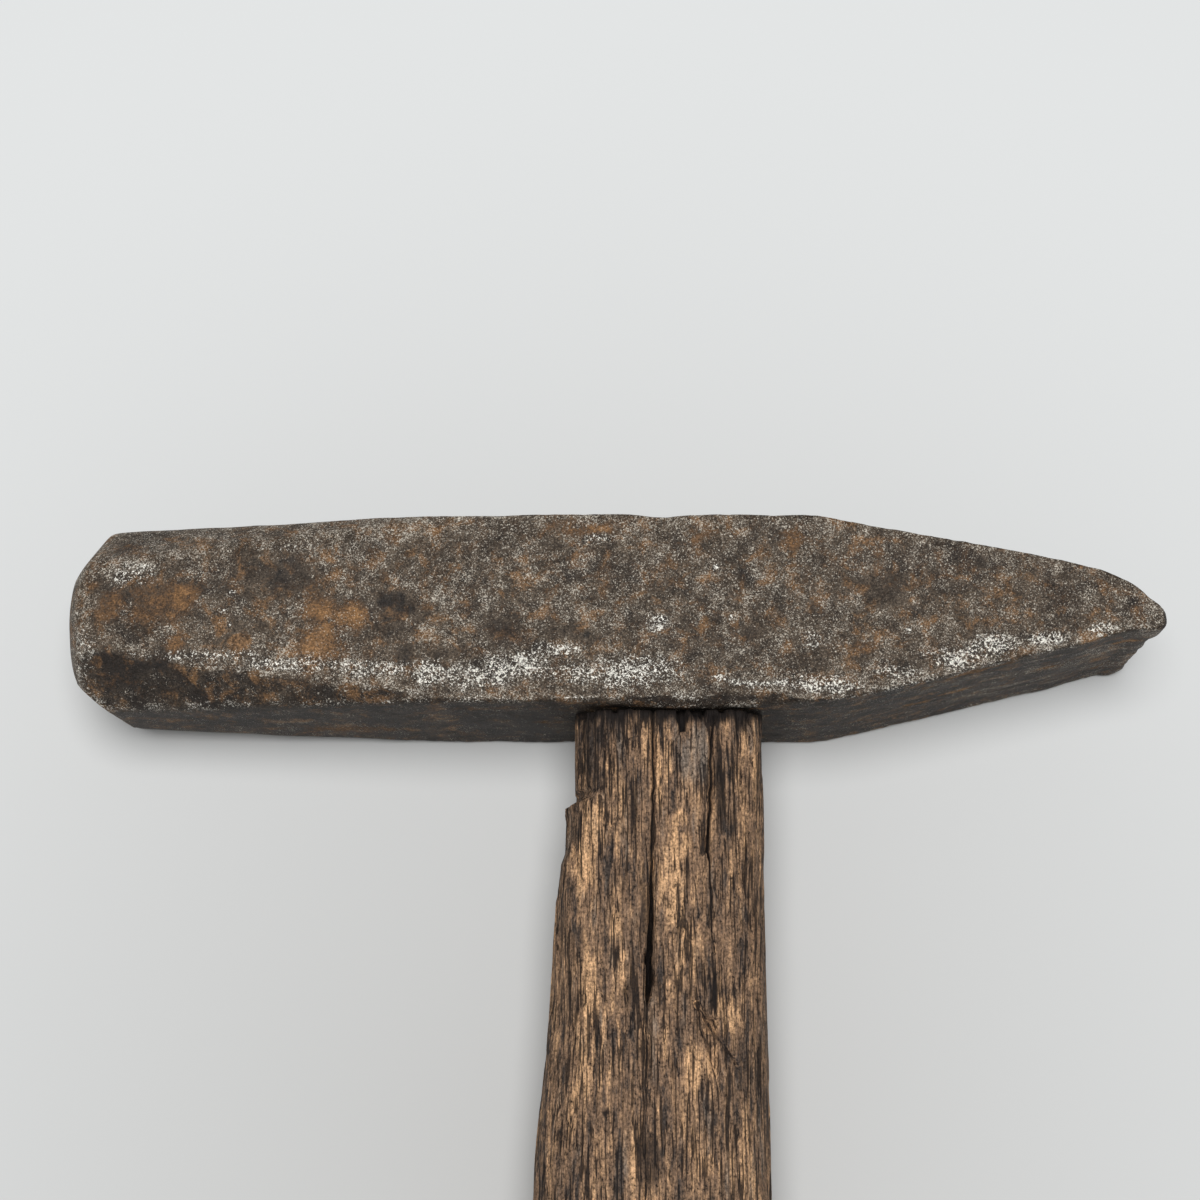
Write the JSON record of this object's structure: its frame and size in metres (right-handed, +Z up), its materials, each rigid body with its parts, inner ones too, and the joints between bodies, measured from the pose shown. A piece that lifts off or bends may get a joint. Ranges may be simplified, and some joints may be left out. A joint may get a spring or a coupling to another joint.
{
  "type": "cross-peen hammer",
  "caption": "Hand-forged cross-peen hammer: tapered, corner-chamfered poll with a crowned face, wedged on a weathered, split wooden handle of oval section.",
  "frame": {"origin": "on the lower cheek, the face that the hammer lies on, under the middle of the eye", "axes": "+X from the striking face to the peen, -Y along the handle from the head to the butt, +Z up, from the lower cheek to the upper one"},
  "size_m": [0.127, 0.3008, 0.0225],
  "materials": {
    "forged_iron": "dark forged surface, pitted and patched with rust, worn to bright metal along its edges",
    "weathered_wood": "bare ring-porous wood, darkened by age, open grained and split along the grain",
    "wedge_wood": "bare end grain, dirty and worn",
    "wedge_iron": "rusted wrought iron with a hammered end"
  },
  "bodies": {
    "root": {"head": "forged_iron", "handle": "weathered_wood", "wood_wedge": "wedge_wood", "iron_wedge_face": "wedge_iron", "iron_wedge_peen": "wedge_iron"}
  },
  "joints": []
}
